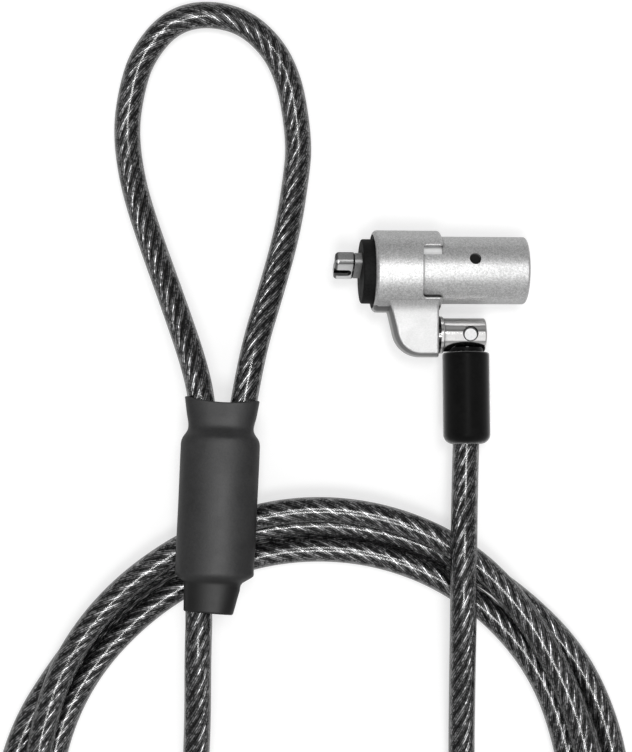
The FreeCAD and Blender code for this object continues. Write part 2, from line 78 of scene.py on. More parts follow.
# degrees travelled round the coil, radius, height
coilStations = [
    (0, 52.0, 2.5), (105, 51.9, 2.5), (131, 51.6, 2.5), (151, 50.8, 2.5), (195, 51.0, 2.5), (219, 51.6, 2.5),
    (236, 51.8, 2.5), (254, 51.8, 2.5), (272, 51.0, 2.5), (300, 52.0, 2.5), (330, 54.6, 2.5), (345, 56.1, 2.5),
    (360, 57.3, 2.5), (390, 58.0, 2.5), (420, 59.3, 2.5), (450, 60.3, 2.5), (465, 60.4, 2.5), (476, 59.7, 2.5),
    (483, 57.9, 2.5), (494, 56.2, 2.5), (507, 55.8, 2.5), (530, 55.7, 2.5), (555, 55.8, 2.5), (580, 56.3, 2.5),
    (592, 56.7, 2.5), (604, 58.0, 2.6), (615, 59.3, 2.6), (635, 59.8, 2.5), (660, 60.2, 2.5), (690, 61.0, 3.0),
    (705, 60.9, 4.6), (720, 59.8, 6.9), (735, 57.2, 7.4), (765, 56.0, 7.2), (785, 55.0, 7.0), (825, 53.8, 6.7),
    (838, 54.2, 6.7), (846, 55.1, 6.9), (858, 56.1, 7.1), (867, 56.6, 7.3), (878, 56.9, 7.4), (888, 57.5, 7.3),
    (912, 58.9, 6.9), (930, 59.0, 6.7), (941, 58.7, 6.6), (947, 58.3, 6.5), (954, 57.5, 6.4), (960, 56.6, 6.3),
    (968, 55.8, 6.2), (977, 54.7, 6.5), (991, 54.3, 6.7), (1005, 54.1, 6.9), (1050, 52.4, 7.1), (1080, 51.9, 7.5),
    (1095, 51.8, 7.4),
]
tailRoute = [
    (-33.0, -141.2, 7.3), (-41.8, -132.4, 4.4), (-47.4, -119.1, 2.7), (-47.2, -100.9, 3.3),
    (-45.5, -85.9, 7.6), (-44.6, -72.9, 13.0), (-44.4, -60.9, 16.0), (-44.12, -51.48, 15.73),
    (-44.52, -44.69, 15.02), (-43.9, -31.0, 13.6), (-43.37, -19.51, 12.37),
]
eyeRoute = [
    (-43.9, -11.6, 11.5), (-45.6, -4.6, 10.2), (-49.2, 5.5, 7.6), (-55.2, 21.6, 4.8), (-58.1, 31.0, 3.2),
    (-59.4, 40.7, 2.6), (-58.2, 49.0, 2.6), (-56.1, 55.5, 2.6), (-50.8, 62.0, 2.6), (-43.5, 64.0, 2.6),
    (-34.8, 61.7, 2.6), (-27.8, 53.3, 2.6), (-25.3, 38.9, 2.7), (-26.1, 30.8, 3.4), (-27.7, 20.6, 5.0),
    (-31.0, 8.4, 7.6), (-33.7, -0.6, 10.0), (-35.9, -11.9, 11.5), (-36.98, -19.95, 12.38),
    (-37.5, -31.5, 13.6), (-38.09, -44.39, 14.95),
]


# smooth values between listed stations; a station's first number is its place
def between(stations, spot):
    last = len(stations) - 1
    i = 0
    while i < last - 1 and spot > stations[i + 1][0]:
        i += 1
    gap = stations[i + 1][0] - stations[i][0]
    part = min(max((spot - stations[i][0]) / gap, 0), 1)
    values = []
    for k in range(1, len(stations[0])):
        slopes = []
        for j in (i, i + 1):
            near = [(stations[b][k] - stations[a][k]) / (stations[b][0] - stations[a][0])
                    for a, b in ((j - 1, j), (j, j + 1)) if a >= 0 and b <= last]
            slopes.append(sum(near) / len(near))
        low, high = stations[i][k], stations[i + 1][k]
        values.append(low * (1 + 2 * part) * (1 - part) ** 2 + high * (3 - 2 * part) * part ** 2
                      + gap * (slopes[0] * part * (1 - part) ** 2 - slopes[1] * (1 - part) * part ** 2))
    return values


# control points stand a little outside the turns, because the spline cuts inside them
coilRoute = []
coilTravel = coilStations[-1][0]
turnSteps = round(coilTravel / 360 * cable["stepsPerTurn"])
inward = 0.75 + 0.25 * math.cos(math.radians(coilTravel / turnSteps))
for step in range(turnSteps + 1):
    travel = coilTravel * step / turnSteps
    radius, height = between(coilStations, travel)
    angle = math.radians(cable["coilStart"] - travel)
    coilRoute.append((cable["coilCentre"][0] + radius / inward * math.cos(angle),
                      cable["coilCentre"][1] + radius / inward * math.sin(angle),
                      max(height, cable["jacketRadius"])))

route = [Vector(point) * mm for point in leadRoute + coilRoute + tailRoute + eyeRoute]


def routeCurve(name, bevel):
    curve = bpy.data.curves.new(name, "CURVE")
    curve.dimensions = "3D"
    spline = curve.splines.new("NURBS")
    spline.points.add(len(route) - 1)
    for point, place in zip(spline.points, route):
        point.co = (place.x, place.y, place.z, 1.0)
        point.radius = cable["jacketRadius"] * mm   # on the points, so that the curve's box fits the tube
    spline.order_u = 3
    spline.use_endpoint_u = True
    curve.resolution_u = cable["splineSteps"]
    curve.bevel_depth = bevel
    curve.bevel_resolution = cable["roundSteps"]
    curve.use_fill_caps = bevel > 0
    return curve


jacket = bpy.data.objects.new("cableJacket", routeCurve("cableJacket", 1.0))
bpy.context.scene.collection.objects.link(jacket)

# the centreline, read back from the spline, carries the strands
centreObject = bpy.data.objects.new("centreline", routeCurve("centreline", 0))
centreMesh = bpy.data.meshes.new_from_object(centreObject)
centreline = [vertex.co.copy() for vertex in centreMesh.vertices]
bpy.data.objects.remove(centreObject)
bpy.data.meshes.remove(centreMesh)
cordLength = sum((b - a).length for a, b in zip(centreline, centreline[1:]))
print("cable length %.3f m" % cordLength)

# rope: six strands laid round a core strand
ropeLay = {
    "strandCount": 6,
    "strandRadius": 0.76,
    "strandCentre": 1.61,
    "pitch": 21.3,
    "sides": 12,
    "coreSides": 6,
    "spacing": 1.25,
    "wires": 11,        # outer wires of a strand
    "wireTwist": 0.26,  # wires passed in a millimetre of strand
}


def strandMesh(name, path):
    tangents = []
    for i in range(len(path)):
        tangents.append((path[min(i + 1, len(path) - 1)] - path[max(i - 1, 0)]).normalized())
    normal = tangents[0].orthogonal().normalized()
    stops = []
    travelled = 0.0
    for i, place in enumerate(path):
        if i:
            travelled += (place - path[i - 1]).length
        normal = (normal - tangents[i] * normal.dot(tangents[i])).normalized()
        stops.append((place, normal, tangents[i].cross(normal), tangents[i], travelled))
    corners = []
    faces = []
    coords = []
    slope = 2 * math.pi * ropeLay["strandCentre"] / ropeLay["pitch"]
    for strand in range(ropeLay["strandCount"] + 1):
        isCore = strand == ropeLay["strandCount"]
        sides = ropeLay["coreSides"] if isCore else ropeLay["sides"]
        swing = 0 if isCore else ropeLay["strandCentre"] * mm
        first = len(corners)
        for place, across, up, ahead, along in stops:
            turn = 2 * math.pi * (strand / ropeLay["strandCount"] + along / (ropeLay["pitch"] * mm))
            outwardWay = across * math.cos(turn) + up * math.sin(turn)
            aroundWay = up * math.cos(turn) - across * math.sin(turn)
            strandWay = ahead if isCore else (ahead + aroundWay * slope).normalized()
            sideWay = strandWay.cross(outwardWay)
            for side in range(sides):
                spin = 2 * math.pi * side / sides
                corners.append(place + outwardWay * swing
                               + (outwardWay * math.cos(spin) + sideWay * math.sin(spin))
                               * ropeLay["strandRadius"] * mm)
        for i in range(len(stops) - 1):
            low, high = stops[i][4] / mm, stops[i + 1][4] / mm
            for side in range(sides):
                a = first + i * sides + side
                b = first + i * sides + (side + 1) % sides
                faces.append((a, b, b + sides, a + sides))
                left, right = strand + side / sides, strand + (side + 1) / sides
                coords += [low, left, low, right, high, right, high, left]
    mesh = bpy.data.meshes.new(name)
    mesh.from_pydata(corners, [], faces)
    mesh.uv_layers.new(name="along").data.foreach_set("uv", coords)
    mesh.polygons.foreach_set("use_smooth", [True] * len(faces))
    mesh.update()
    return mesh


ropePath = [centreline[0]]
for point in centreline:
    if (point - ropePath[-1]).length >= ropeLay["spacing"] * mm:
        ropePath.append(point)
rope = bpy.data.objects.new("cableRope", strandMesh("cableRope", ropePath))
bpy.context.scene.collection.objects.link(rope)
print("rope made, %d faces" % len(rope.data.polygons))

# shrink sleeve over the crimp ferrule
sleeve = {
    "place": (-40.86, -32.32, 13.7),
    "turn": -2.25,
    "tilt": -6.0,
    "wall": 0.5,
    "sides": 96,
    "step": 0.35,
    # along, left, right, thickness, squareness
    "stations": [
        (-19.6, 5.5, 3.9, 6.3, 2.2), (-15.5, 5.65, 4.95, 6.7, 2.2), (-14.0, 5.8, 5.35, 7.2, 2.2),
        (-13.3, 6.6, 6.4, 8.4, 2.15), (-12.7, 7.35, 7.3, 9.2, 2.1), (-11.5, 7.42, 7.42, 9.5, 2.1),
        (0.0, 7.45, 7.55, 9.6, 2.1), (11.0, 7.45, 7.6, 9.6, 2.15), (12.5, 7.4, 7.55, 9.5, 2.2),
        (13.3, 7.1, 7.25, 9.2, 2.3), (14.2, 6.5, 6.6, 7.9, 2.4), (15.0, 6.2, 6.3, 6.95, 2.5),
        (17.8, 6.6, 6.75, 6.85, 2.6), (20.66, 7.1, 7.2, 6.8, 2.6),
    ],
    "topNeck": 14.5,        # where the slanted cuts begin to bend the rings
    "lowNeck": -15.0,
    "topSlant": 0.028,
    "lowSlant": 0.045,
    "topDip": 0.93,
    "dipHalfWidth": 7,
    "rimRound": 0.45,       # of the wall
    "ripple": 0.05,
    "rippleScale": (0.22, 0.16, 0.22),
}
sleeveFrame = (Matrix.Translation(Vector(sleeve["place"]) * mm)
               @ Matrix.Rotation(math.radians(sleeve["turn"]), 4, "Z")
               @ Matrix.Rotation(math.radians(sleeve["tilt"]), 4, "X"))


def sleeveRing(along, inset, overhang):
    left, right, thick, square = between(sleeve["stations"], along)
    bottomEnd, topEnd = sleeve["stations"][0][0], sleeve["stations"][-1][0]
    nearTop = min(max((along - sleeve["topNeck"]) / (topEnd - sleeve["topNeck"]), 0), 1)
    nearBottom = min(max((sleeve["lowNeck"] - along) / (sleeve["lowNeck"] - bottomEnd), 0), 1)
    ring = []
    for side in range(sleeve["sides"]):
        turn = 2 * math.pi * side / sleeve["sides"]
        across = math.copysign(abs(math.cos(turn)) ** (2 / square), math.cos(turn))
        high = math.copysign(abs(math.sin(turn)) ** (2 / square), math.sin(turn))
        reach = right if across > 0 else left
        x = across * (reach - inset)
        z = high * (thick / 2 - inset)
        # both rims are cut a little out of square, and the top one dips in the middle
        topCut = sleeve["topSlant"] * x + sleeve["topDip"] * (1 - (x / sleeve["dipHalfWidth"]) ** 2)
        y = along + overhang - nearTop * topCut - nearBottom * sleeve["lowSlant"] * x
        if not inset:
            acrossScale, alongScale, highScale = sleeve["rippleScale"]
            here = Vector((x * acrossScale, y * alongScale, z * highScale + 3.7))
            swell = noise.noise(here) * sleeve["ripple"]
            x += across * swell
            z += high * swell
        ring.append(sleeveFrame @ (Vector((x, y, z)) * mm))
    return ring


stops = []
spot = sleeve["stations"][0][0]
while spot < sleeve["stations"][-1][0]:
    stops.append(spot)
    spot += sleeve["step"]
stops.append(sleeve["stations"][-1][0])
wall = sleeve["wall"]
rings = [sleeveRing(stop, 0, 0) for stop in stops]
for part in (0.25, 0.5, 0.75):   # rounded top rim
    rings.append(sleeveRing(stops[-1], wall * part, wall * sleeve["rimRound"] * math.sin(math.pi * part)))
rings += [sleeveRing(stop, wall, 0) for stop in reversed(stops[::4] + [stops[-1]])]
for part in (0.75, 0.5, 0.25):   # rounded bottom rim
    rings.append(sleeveRing(stops[0], wall * part, -wall * sleeve["rimRound"] * math.sin(math.pi * part)))
sleeveCorners = [corner for ring in rings for corner in ring]
sleeveFaces = []
sides = sleeve["sides"]
for i in range(len(rings)):
    following = (i + 1) % len(rings)
    for side in range(sides):
        beside = (side + 1) % sides
        sleeveFaces.append((i * sides + side, i * sides + beside,
                            following * sides + beside, following * sides + side))
sleeveMesh = bpy.data.meshes.new("shrinkSleeve")
sleeveMesh.from_pydata(sleeveCorners, [], sleeveFaces)
sleeveMesh.polygons.foreach_set("use_smooth", [True] * len(sleeveFaces))
sleeveMesh.update()
shrinkSleeve = bpy.data.objects.new("shrinkSleeve", sleeveMesh)
bpy.context.scene.collection.objects.link(shrinkSleeve)
print("sleeve made")

cordNodes = ["cable_lead", "cable_coil", "cable_tail", "cable_eye"]
for piece in (jacket, rope):
    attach(piece, "cable")
    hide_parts(*cordNodes)
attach(shrinkSleeve, "cable")
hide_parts("crimp_sleeve")
print("cable declared")


# materials
def addNode(tree, kind, sockets=None, **settings):
    made = tree.nodes.new("ShaderNode" + kind)
    for name, value in settings.items():
        setattr(made, name, value)
    for name, value in (sockets or {}).items():
        if isinstance(value, bpy.types.NodeSocket):
            tree.links.new(value, made.inputs[name])
        else:
            made.inputs[name].default_value = value
    return made


def mathNode(tree, operation, first, second=0.0, clamp=False):
    return addNode(tree, "Math", {0: first, 1: second}, operation=operation, use_clamp=clamp).outputs[0]


def product(tree, first, *others):
    for other in others:
        first = mathNode(tree, "MULTIPLY", first, other)
    return first


def absolute(tree, value):
    return mathNode(tree, "ABSOLUTE", value)


def below(tree, value, limit):
    return mathNode(tree, "LESS_THAN", value, limit)


def above(tree, value, limit):
    return mathNode(tree, "GREATER_THAN", value, limit)


def dotNode(tree, vector, axis):
    return addNode(tree, "VectorMath", {0: vector, 1: axis}, operation="DOT_PRODUCT").outputs["Value"]


def spread(tree, value, low, high, fromLow=0.0, fromHigh=1.0):
    return addNode(tree, "MapRange", {"Value": value, "From Min": fromLow, "From Max": fromHigh,
                                      "To Min": low, "To Max": high}).outputs[0]


# the spot on the piece, measured from a given centre
def spotFrom(tree, centre):
    here = addNode(tree, "TexCoord").outputs["Object"]
    return addNode(tree, "VectorMath", {0: here, 1: centre}, operation="SUBTRACT").outputs[0]


def grey(tone):
    return (tone, tone, tone)


def blendColour(tree, factor, first, second):
    made = addNode(tree, "Mix", data_type="RGBA")
    for socket, value in ((made.inputs[0], factor), (made.inputs[6], first), (made.inputs[7], second)):
        if isinstance(value, bpy.types.NodeSocket):
            tree.links.new(value, socket)
        elif isinstance(value, tuple):
            socket.default_value = value + (1,)
        else:
            socket.default_value = value
    return made.outputs[2]


def newGroup(name, takes, gives):
    group = bpy.data.node_groups.new(name, "ShaderNodeTree")
    for socket, value in takes.items():
        kind = "NodeSocketVector" if isinstance(value, tuple) else "NodeSocketFloat"
        group.interface.new_socket(name=socket, in_out="INPUT", socket_type=kind).default_value = value
    for socket in gives:
        group.interface.new_socket(name=socket, in_out="OUTPUT", socket_type="NodeSocketFloat")
    return group, group.nodes.new("NodeGroupInput").outputs, group.nodes.new("NodeGroupOutput").inputs


def useGroup(tree, group, **values):
    made = tree.nodes.new("ShaderNodeGroup")
    made.node_tree = group
    for name, value in values.items():
        made.inputs[name].default_value = value
    return made.outputs


# fine grain: soft cells and a random tone for each
fineGrain, takes, gives = newGroup("fineGrain", {"Scale": 4000.0}, ["Height", "Tone"])
spots = addNode(fineGrain, "TexCoord").outputs["Object"]
cells = addNode(fineGrain, "TexVoronoi", {"Vector": spots, "Scale": takes["Scale"]})
cloud = addNode(fineGrain, "TexNoise", {"Vector": spots, "Scale": takes["Scale"], "Detail": 1.0})
cellTone = addNode(fineGrain, "SeparateColor", {"Color": cells.outputs["Color"]}).outputs[0]
pits = product(fineGrain, cells.outputs["Distance"], 0.4)
fineGrain.links.new(mathNode(fineGrain, "SUBTRACT", cloud.outputs[0], pits), gives["Height"])
fineGrain.links.new(cellTone, gives["Tone"])

# smudges: slow, cloudy change across a surface
smudges, takes, gives = newGroup("smudges", {"Scale": 300.0}, ["Tone"])
spots = addNode(smudges, "TexCoord").outputs["Object"]
cloud = addNode(smudges, "TexNoise", {"Vector": spots, "Scale": takes["Scale"], "Detail": 3.0,
                                      "Roughness": 0.6})
smudges.links.new(spread(smudges, cloud.outputs[0], 0, 1, 0.3, 0.7), gives["Tone"])

# turned lines: fine rings round an axis
turnedLines, takes, gives = newGroup("turnedLines", {"Axis": (1.0, 0.0, 0.0), "Scale": 9000.0}, ["Height"])
spots = addNode(turnedLines, "TexCoord").outputs["Object"]
place = product(turnedLines, dotNode(turnedLines, spots, takes["Axis"]), takes["Scale"])
rings = addNode(turnedLines, "TexNoise", {"W": place, "Scale": 1.0, "Detail": 2.0}, noise_dimensions="1D")
turnedLines.links.new(rings.outputs[0], gives["Height"])

# edge wear and painted edge highlight: finds the edges by comparing the true normal with a rounded one
edgeWearAndHighlight, takes, gives = newGroup("edgeWearAndHighlight", {"Radius": 0.0002, "Scale": 1500.0}, ["Mask"])
soft = addNode(edgeWearAndHighlight, "Bevel", {"Radius": takes["Radius"]}, samples=4).outputs[0]
match = dotNode(edgeWearAndHighlight, soft, addNode(edgeWearAndHighlight, "NewGeometry").outputs["Normal"])
wearAndHighlight = spread(edgeWearAndHighlight, match, 1, 0, 0.85, 0.995)
spots = addNode(edgeWearAndHighlight, "TexCoord").outputs["Object"]
cloud = addNode(edgeWearAndHighlight, "TexNoise", {"Vector": spots, "Scale": takes["Scale"], "Detail": 2.0}).outputs[0]
edgeWearAndHighlight.links.new(product(edgeWearAndHighlight, wearAndHighlight, spread(edgeWearAndHighlight, cloud, 0.3, 1, 0.4, 0.6)), gives["Mask"])

# painted shade: darkens the surface where it meets a step, found by ambient occlusion
creviceShade, takes, gives = newGroup("creviceShade", {"Reach": 0.0006}, ["Mask"])
crevice = addNode(creviceShade, "AmbientOcclusion", {"Distance": takes["Reach"]}, samples=6)
creviceShade.links.new(spread(creviceShade, crevice.outputs["AO"], 1, 0, 0.5, 0.92), gives["Mask"])

# wire lay: round wires side by side along a strand; the tone is a painted glint along each wire's crest, each
# broken at random, darkened by painted shade on the strand's sides
wireLay, takes, gives = newGroup("wireLay", {"Wires": 14.0, "Twist": 0.33}, ["Height", "Tone"])
strandSpot = addNode(wireLay, "UVMap", uv_map="along").outputs[0]
alongStrand, roundStrand = addNode(wireLay, "SeparateXYZ", {0: strandSpot}).outputs[:2]
wireSpot = mathNode(wireLay, "ADD", product(wireLay, roundStrand, takes["Wires"]),
                    product(wireLay, alongStrand, takes["Twist"]))
offside = mathNode(wireLay, "MULTIPLY_ADD", mathNode(wireLay, "FRACT", wireSpot), 2.0)
offside.node.inputs[2].default_value = -1.0
roundTop = mathNode(wireLay, "SQRT", mathNode(wireLay, "SUBTRACT", 1.0, product(wireLay, offside, offside)))
wireLay.links.new(roundTop, gives["Height"])
wirePlace = addNode(wireLay, "CombineXYZ", {0: product(wireLay, alongStrand, 1.1),
                                            1: product(wireLay, mathNode(wireLay, "FLOOR", wireSpot), 7.31)})
broken = addNode(wireLay, "TexNoise", {"Vector": wirePlace.outputs[0], "Scale": 1.0, "Detail": 2.0,
                                       "Roughness": 0.7}).outputs[0]
# painted glint: a thin bright line on each wire's crest
crestGlints = product(wireLay, spread(wireLay, broken, 0.10, 1, 0.43, 0.61),
                 mathNode(wireLay, "POWER", roundTop, 4.0))
# painted shade: the sides of a strand are darkened where they lie beside its neighbours
strandShade = mathNode(wireLay, "COSINE", product(wireLay, roundStrand, 2 * math.pi))
wireLay.links.new(product(wireLay, crestGlints, spread(wireLay, strandShade, 0.12, 1, 0.0, 0.75)), gives["Tone"])


def newMaterial(name, **plain):
    material = bpy.data.materials.new(name)
    material.use_nodes = True
    tree = material.node_tree
    shader = tree.nodes["Principled BSDF"]
    for socket, value in plain.items():
        shader.inputs[socket.replace("_", " ")].default_value = value
    return material, tree, shader


def bumpInto(tree, shader, height, distance):
    bump = addNode(tree, "Bump", {"Height": height, "Distance": distance, "Strength": 1.0})
    tree.links.new(bump.outputs[0], shader.inputs["Normal"])


# a material's tree, its colour so far and the socket that takes the next one
def colourOf(material):
    target = material.node_tree.nodes["Principled BSDF"].inputs["Base Color"]
    return material.node_tree, target.links[0].from_socket, target


# a bare metal: tone between two colours, roughness between two values, lines or grain in the surface, edges
# lighter from wear and painted highlight, and painted shade in its crevices
def metalMaterial(name, dark, light, rough, metallic=1.0, lines=None, grain=4000.0, bump=0.000004, wearAndHighlight=0.3,
                  creviceTone=0.25, cloudy=0.4):
    material, tree, shader = newMaterial(name, Metallic=metallic)
    grains = useGroup(tree, fineGrain, Scale=grain)
    clouds = useGroup(tree, smudges, Scale=320.0)
    edges = useGroup(tree, edgeWearAndHighlight, Radius=0.00015)
    mixed = mathNode(tree, "ADD", product(tree, grains["Tone"], 1 - cloudy),
                     product(tree, clouds["Tone"], cloudy))
    colour = blendColour(tree, mixed, dark, light)
    # edges lighter: partly rubbed wear, partly painted highlight
    bright = tuple(min(1.0, c * (1 + wearAndHighlight)) for c in light)
    colour = blendColour(tree, edges["Mask"], colour, bright)
    # painted shade in crevices and at steps: the colour goes toward the dark tone, scaled by the given factor
    creviceShadeMask = useGroup(tree, creviceShade, Reach=0.0006)["Mask"]
    colour = blendColour(tree, creviceShadeMask, colour, tuple(c * creviceTone for c in dark))
    tree.links.new(colour, shader.inputs["Base Color"])
    tree.links.new(spread(tree, clouds["Tone"], rough[0], rough[1]), shader.inputs["Roughness"])
    height = grains["Height"]
    if lines:
        rings = useGroup(tree, turnedLines, Axis=lines)["Height"]
        height = mathNode(tree, "ADD", rings, product(tree, height, 0.3))
    bumpInto(tree, shader, height, bump)
    return material


# a dull or glossy polymer: faint mottle and grain in the surface
def polymerMaterial(name, dark, light, rough, grain, bump, **plain):
    material, tree, shader = newMaterial(name, **plain)
    grains = useGroup(tree, fineGrain, Scale=grain)
    clouds = useGroup(tree, smudges, Scale=250.0)
    mixed = mathNode(tree, "ADD", product(tree, grains["Tone"], 0.5), product(tree, clouds["Tone"], 0.5))
    tree.links.new(blendColour(tree, mixed, dark, light), shader.inputs["Base Color"])
    tree.links.new(spread(tree, clouds["Tone"], rough[0], rough[1]), shader.inputs["Roughness"])
    bumpInto(tree, shader, grains["Height"], bump)
    return material


headTilt = math.radians(4.9)
barrelWay = (math.cos(headTilt), 0.0, -math.sin(headTilt))
frontWay = (math.sin(headTilt), 0.0, math.cos(headTilt))
upWay = (0, 1, 0)
plugCentre = (1.55 * mm, 13.94 * mm, 7.87 * mm)

# the finishes: dark and light tone, roughness from and to, and what sets each one apart
metals = {
    "castSilver": {"dark": grey(0.38), "light": grey(0.64), "rough": (0.38, 0.44), "metallic": 0.6,
                   "grain": 5200.0, "bump": 0.00002, "wearAndHighlight": 0.25, "cloudy": 0.12},
    "brightSteel": {"dark": grey(0.66), "light": grey(0.76), "rough": (0.24, 0.34), "lines": barrelWay,
                    "creviceTone": 0.7},
    "polishedNickel": {"dark": (0.76, 0.755, 0.75), "light": (0.86, 0.85, 0.84), "rough": (0.08, 0.15),
                       "lines": barrelWay, "bump": 0.000002},
    "innerSteel": {"dark": grey(0.92), "light": grey(0.97), "rough": (0.30, 0.40), "metallic": 0.0,
                   "lines": barrelWay, "creviceTone": 1.0},
    "pinSteel": {"dark": grey(0.60), "light": grey(0.75), "rough": (0.45, 0.55), "metallic": 0.15,
                 "bump": 0.00001},
    "teeSteel": {"dark": grey(0.33), "light": grey(0.48), "rough": (0.40, 0.52), "creviceTone": 1.0},
    "noseSteel": {"dark": grey(0.20), "light": grey(0.34), "rough": (0.45, 0.55), "metallic": 0.7,
                  "creviceTone": 1.0},
    "pinBrass": {"dark": (0.62, 0.43, 0.18), "light": (0.74, 0.55, 0.26), "rough": (0.22, 0.34)},
    "ferruleMetal": {"dark": (0.60, 0.60, 0.61), "light": (0.72, 0.72, 0.73), "rough": (0.30, 0.45),
                     "grain": 2500.0},
    "dullRope": {"dark": grey(0.16), "light": grey(0.34), "rough": (0.30, 0.45), "grain": 3000.0,
                 "bump": 0.00002},
}
polymers = {
    "darkPin": {"dark": grey(0.006), "light": grey(0.012), "rough": (0.45, 0.60), "grain": 5000.0,
                "bump": 0.000005, "Specular_IOR_Level": 0.15},
    "blackRubber": {"dark": grey(0.003), "light": grey(0.013), "rough": (0.60, 0.75), "grain": 3600.0,
                    "bump": 0.00003, "Specular_IOR_Level": 0.12},
    "bootBlack": {"dark": grey(0.004), "light": grey(0.007), "rough": (0.30, 0.42), "grain": 1500.0,
                  "bump": 0.000006, "Specular_IOR_Level": 0.02, "Sheen_Weight": 0.8, "Sheen_Roughness": 0.36},
    "sleeveGrey": {"dark": (0.018, 0.018, 0.0185), "light": (0.031, 0.031, 0.0315), "rough": (0.44, 0.54),
                   "grain": 3600.0, "bump": 0.000012, "Specular_IOR_Level": 0.4},
}
finishes = {name: metalMaterial(name, **look) for name, look in metals.items()}
finishes.update({name: polymerMaterial(name, **look) for name, look in polymers.items()})

# the sleeve's lower neck, drawn in tight, is darker
sleeveNeck = {"tone": 0.006, "from": -46.0, "to": -44.5}
tree, colour, target = colourOf(finishes["sleeveGrey"])
neck = dotNode(tree, addNode(tree, "TexCoord").outputs["Object"], upWay)
neck = spread(tree, neck, 1.0, 0, sleeveNeck["from"] * mm, sleeveNeck["to"] * mm)
tree.links.new(blendColour(tree, neck, colour, grey(sleeveNeck["tone"])), target)

# the T-bar: painted light on the sides that look down its thin way, painted shade in a groove in them and on the
# rounded edges, and a painted highlight on the outer corner
teeLook = {
    "turn": 28,
    "litSideTone": 0.80,
    "grooveShadeTone": 0.015,
    "grooveDepth": 0.75,    # from the middle of the T-bar to the groove's floor
    "grooveHalf": 1.53,
    "frontEnd": -20.24,
    "edgeShadeTone": 0.14,
    "cornerHighlightTone": 0.95,
    "litSideFacing": (-0.97, -0.80),   # how squarely a face looks down the thin way to take the painted light
    "edgeFacing": (0.86, 0.97),       # a face that looks squarely down no way is an edge
    "cornerFacing": (-0.15, 0.4, -0.15),
}
tree, colour, target = colourOf(finishes["teeSteel"])
teeTurn = math.radians(teeLook["turn"])
thinWay = (-math.sin(teeTurn) * frontWay[0], math.cos(teeTurn), -math.sin(teeTurn) * frontWay[2])
longWay = (math.cos(teeTurn) * frontWay[0], math.sin(teeTurn), math.cos(teeTurn) * frontWay[2])
spots = spotFrom(tree, plugCentre)
facing = addNode(tree, "TexCoord").outputs["Normal"]
# painted light: faces that look down the thin way are lighter
litSide = spread(tree, dotNode(tree, facing, thinWay), 1, 0, *teeLook["litSideFacing"])
colour = blendColour(tree, litSide, colour, grey(teeLook["litSideTone"]))
# painted shade in the groove
grooveShade = product(tree,
                 below(tree, absolute(tree, dotNode(tree, spots, thinWay)), teeLook["grooveDepth"] * mm),
                 below(tree, absolute(tree, dotNode(tree, spots, longWay)), teeLook["grooveHalf"] * mm),
                 above(tree, dotNode(tree, spots, barrelWay), teeLook["frontEnd"] * mm))
colour = blendColour(tree, grooveShade, colour, grey(teeLook["grooveShadeTone"]))
flat = 0.0
for way in (longWay, thinWay, barrelWay):
    flat = mathNode(tree, "MAXIMUM", flat, absolute(tree, dotNode(tree, facing, way)))
barrelLimit, longLimit, thinLimit = teeLook["cornerFacing"]
# the outer corner, which takes a painted highlight
corner = product(tree, below(tree, dotNode(tree, facing, barrelWay), barrelLimit),
                 above(tree, dotNode(tree, facing, longWay), longLimit),
                 below(tree, dotNode(tree, facing, thinWay), thinLimit))
# painted shade on the rounded edges, all but the outer corner
edgeShade = mathNode(tree, "SUBTRACT", spread(tree, flat, 1, 0, *teeLook["edgeFacing"]), corner, clamp=True)
colour = blendColour(tree, edgeShade, colour, grey(teeLook["edgeShadeTone"]))
tree.links.new(blendColour(tree, corner, colour, grey(teeLook["cornerHighlightTone"])), target)

# the leg is darker than the collar above it, and the drafted wall round it has painted shade above its middle
legLook = {
    "tone": 0.40,
    "share": 0.8,
    "from": 5.0,
    "to": 7.5,
    "wallShadeTone": 0.10,
    "wallFrom": 1.3,        # above the head's middle plane
    "wallTo": 2.3,
    "wallTop": 6.2,
}
tree, colour, target = colourOf(finishes["castSilver"])
spots = addNode(tree, "TexCoord").outputs
up = dotNode(tree, spots["Object"], upWay)
leg = spread(tree, up, legLook["share"], 0, legLook["from"] * mm, legLook["to"] * mm)
colour = blendColour(tree, leg, colour, grey(legLook["tone"]))
height = dotNode(tree, spotFrom(tree, plugCentre), frontWay)
# painted shade on the drafted wall above its middle
wall = product(tree, below(tree, absolute(tree, dotNode(tree, spots["Normal"], frontWay)), 0.5),
               spread(tree, height, 0, 1, legLook["wallFrom"] * mm, legLook["wallTo"] * mm),
               below(tree, up, legLook["wallTop"] * mm))
tree.links.new(blendColour(tree, wall, colour, grey(legLook["wallShadeTone"])), target)

# the cross pin has a dark ring round its end
pinLook = {"ringRadius": 1.17, "ringTone": 0.03}
tree, colour, target = colourOf(finishes["pinSteel"])
pinLow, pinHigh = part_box("cross_pin")
spots = spotFrom(tree, tuple((low + high) / 2 for low, high in zip(pinLow, pinHigh)))
squares = [mathNode(tree, "POWER", absolute(tree, dotNode(tree, spots, way)), 2.0)
           for way in (upWay, barrelWay)]
ring = above(tree, mathNode(tree, "ADD", *squares), (pinLook["ringRadius"] * mm) ** 2)
tree.links.new(blendColour(tree, ring, colour, grey(pinLook["ringTone"])), target)

# steel rope under the jacket
# the rope's colour: painted glints on the wire crests, painted shade between the wires and on the strands' sides
ropeLook = {"shadedGapTone": grey(0.028), "glintTone": (0.97, 0.97, 0.98), "roughness": 0.33, "wireDepth": 0.00005}
ropeSteel, tree, shader = newMaterial("ropeSteel", Metallic=1.0, Roughness=ropeLook["roughness"])
wires = useGroup(tree, wireLay, Wires=float(ropeLay["wires"]), Twist=ropeLay["wireTwist"])
glintAndShadeColour = blendColour(tree, wires["Tone"], ropeLook["shadedGapTone"], ropeLook["glintTone"])
tree.links.new(glintAndShadeColour, shader.inputs["Base Color"])
bumpInto(tree, shader, wires["Height"], ropeLook["wireDepth"])
rope.data.materials.append(ropeSteel)

